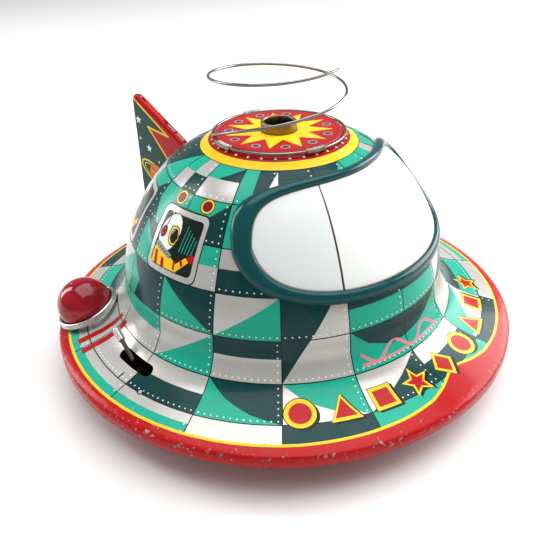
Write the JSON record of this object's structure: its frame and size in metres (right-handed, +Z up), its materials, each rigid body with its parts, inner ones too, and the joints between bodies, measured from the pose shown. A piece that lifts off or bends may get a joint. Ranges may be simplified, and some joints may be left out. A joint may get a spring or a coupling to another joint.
{
  "type": "tin flying saucer toy",
  "caption": "Battery-operated tin flying saucer with an air nozzle and wire ball catcher, wrap-around windshield, tail fin, warning lamp, lever switch and swivelling drive.",
  "frame": {"origin": "centre of the object's box at floor level, where the wheels touch", "axes": "+Z up along the saucer's axis, -Y forward to the windshield, +Y back to the tail fin, +X to the craft's left seen from the front"},
  "size_m": [0.205, 0.205, 0.1277],
  "materials": {
    "litho_tin": "lithographed tinplate, gloss lacquer",
    "red_tin": "lithographed tinplate, worn",
    "teal_tin": "enamelled tinplate, gloss",
    "white_tin": "enamelled tinplate, gloss",
    "chrome": "polished, lightly tarnished",
    "red_lens": "translucent moulded plastic",
    "bulb_glass": "clear glass",
    "brass": "aged",
    "dark_steel": "blackened",
    "steel": "plated",
    "black_plastic": "moulded",
    "rubber": "matte",
    "cell_wrap": "plain printed sleeve",
    "lead_cover": "soft insulation"
  },
  "bodies": {
    "chassis": {"upper_shell": "litho_tin", "base_pan": "red_tin", "top_disc": "litho_tin", "air_nozzle": "brass", "windshield_frame": "teal_tin", "windshield_side_pane": "white_tin", "windshield_front_pane": "white_tin", "tail_fin_left": "litho_tin", "tail_fin_right": "litho_tin", "ball_catcher_wire": "chrome", "wire_clips": "chrome", "lamp_lens": "red_lens", "lamp_bezel": "chrome", "lamp_bulb": "bulb_glass", "lamp_socket": "brass", "switch_post": "steel", "switch_contact": "brass", "gear_plate_lower": "steel", "gear_plate_upper": "steel", "lower_pillars": "steel", "upper_pillars": "steel", "plate_screws": "steel", "motor_can": "steel", "motor_end_cap": "black_plastic", "blower_housing": "steel", "blower_cowl": "steel", "gear_arbor": "steel", "rear_axle_brackets": "steel", "battery_box": "steel", "battery_left": "cell_wrap", "battery_right": "cell_wrap", "battery_contacts_front": "brass", "battery_contact_rear": "brass", "door_hinge_pin": "steel", "lamp_lead": "lead_cover", "motor_lead": "lead_cover"},
    "rotor": {"motor_shaft": "steel", "motor_pinion": "brass", "blower_impeller": "black_plastic"},
    "reduction": {"reduction_gear": "brass"},
    "upright": {"shaft_gear": "brass", "drive_shaft": "steel", "drive_pinion": "brass"},
    "turret": {"turntable": "steel", "turntable_clip": "steel"},
    "front_wheels": {"front_axle": "steel", "crown_gear": "brass", "drive_wheel_left": "steel", "drive_wheel_right": "steel", "drive_tyre_left": "rubber", "drive_tyre_right": "rubber"},
    "rear_wheels": {"rear_axle": "steel", "rear_wheel_left": "rubber", "rear_wheel_right": "rubber"},
    "lever": {"switch_lever": "dark_steel", "lever_ferrule": "chrome"},
    "door": {"battery_door": "red_tin"}
  },
  "joints": [
    {"name": "motor_spin", "type": "hinge", "parent": "chassis", "child": "rotor", "pos_m": [0, 0, 0.06], "axis": [0, 0, 1], "continuous": true},
    {"name": "reduction_spin", "type": "hinge", "parent": "chassis", "child": "reduction", "pos_m": [0, -0.02, 0.036], "axis": [0, 0, 1], "continuous": true},
    {"name": "upright_spin", "type": "hinge", "parent": "chassis", "child": "upright", "pos_m": [0, -0.0392, 0.03], "axis": [0, 0, 1], "continuous": true},
    {"name": "turret_swivel", "type": "hinge", "parent": "chassis", "child": "turret", "pos_m": [0, -0.0392, 0.025], "axis": [0, 0, 1], "continuous": true},
    {"name": "front_wheel_spin", "type": "hinge", "parent": "turret", "child": "front_wheels", "pos_m": [0, -0.0392, 0.011], "axis": [1, 0, 0], "continuous": true},
    {"name": "rear_wheel_spin", "type": "hinge", "parent": "chassis", "child": "rear_wheels", "pos_m": [0, 0.077, 0.0095], "axis": [1, 0, 0], "continuous": true},
    {"name": "switch_swing", "type": "hinge", "parent": "chassis", "child": "lever", "pos_m": [-0.06185, 0.00432, 0.0176], "axis": [0, 0, 1], "range_deg": [0, 28]},
    {"name": "battery_door_swing", "type": "hinge", "parent": "chassis", "child": "door", "pos_m": [0, 0.0648, 0.0094], "axis": [1, 0, 0], "range_deg": [0, 95]}
  ],
  "couplings": [
    {"joint": "reduction_spin", "follows": "motor_spin", "ratio": -0.25},
    {"joint": "upright_spin", "follows": "motor_spin", "ratio": 0.083333},
    {"joint": "front_wheel_spin", "follows": "motor_spin", "ratio": 0.05}
  ]
}
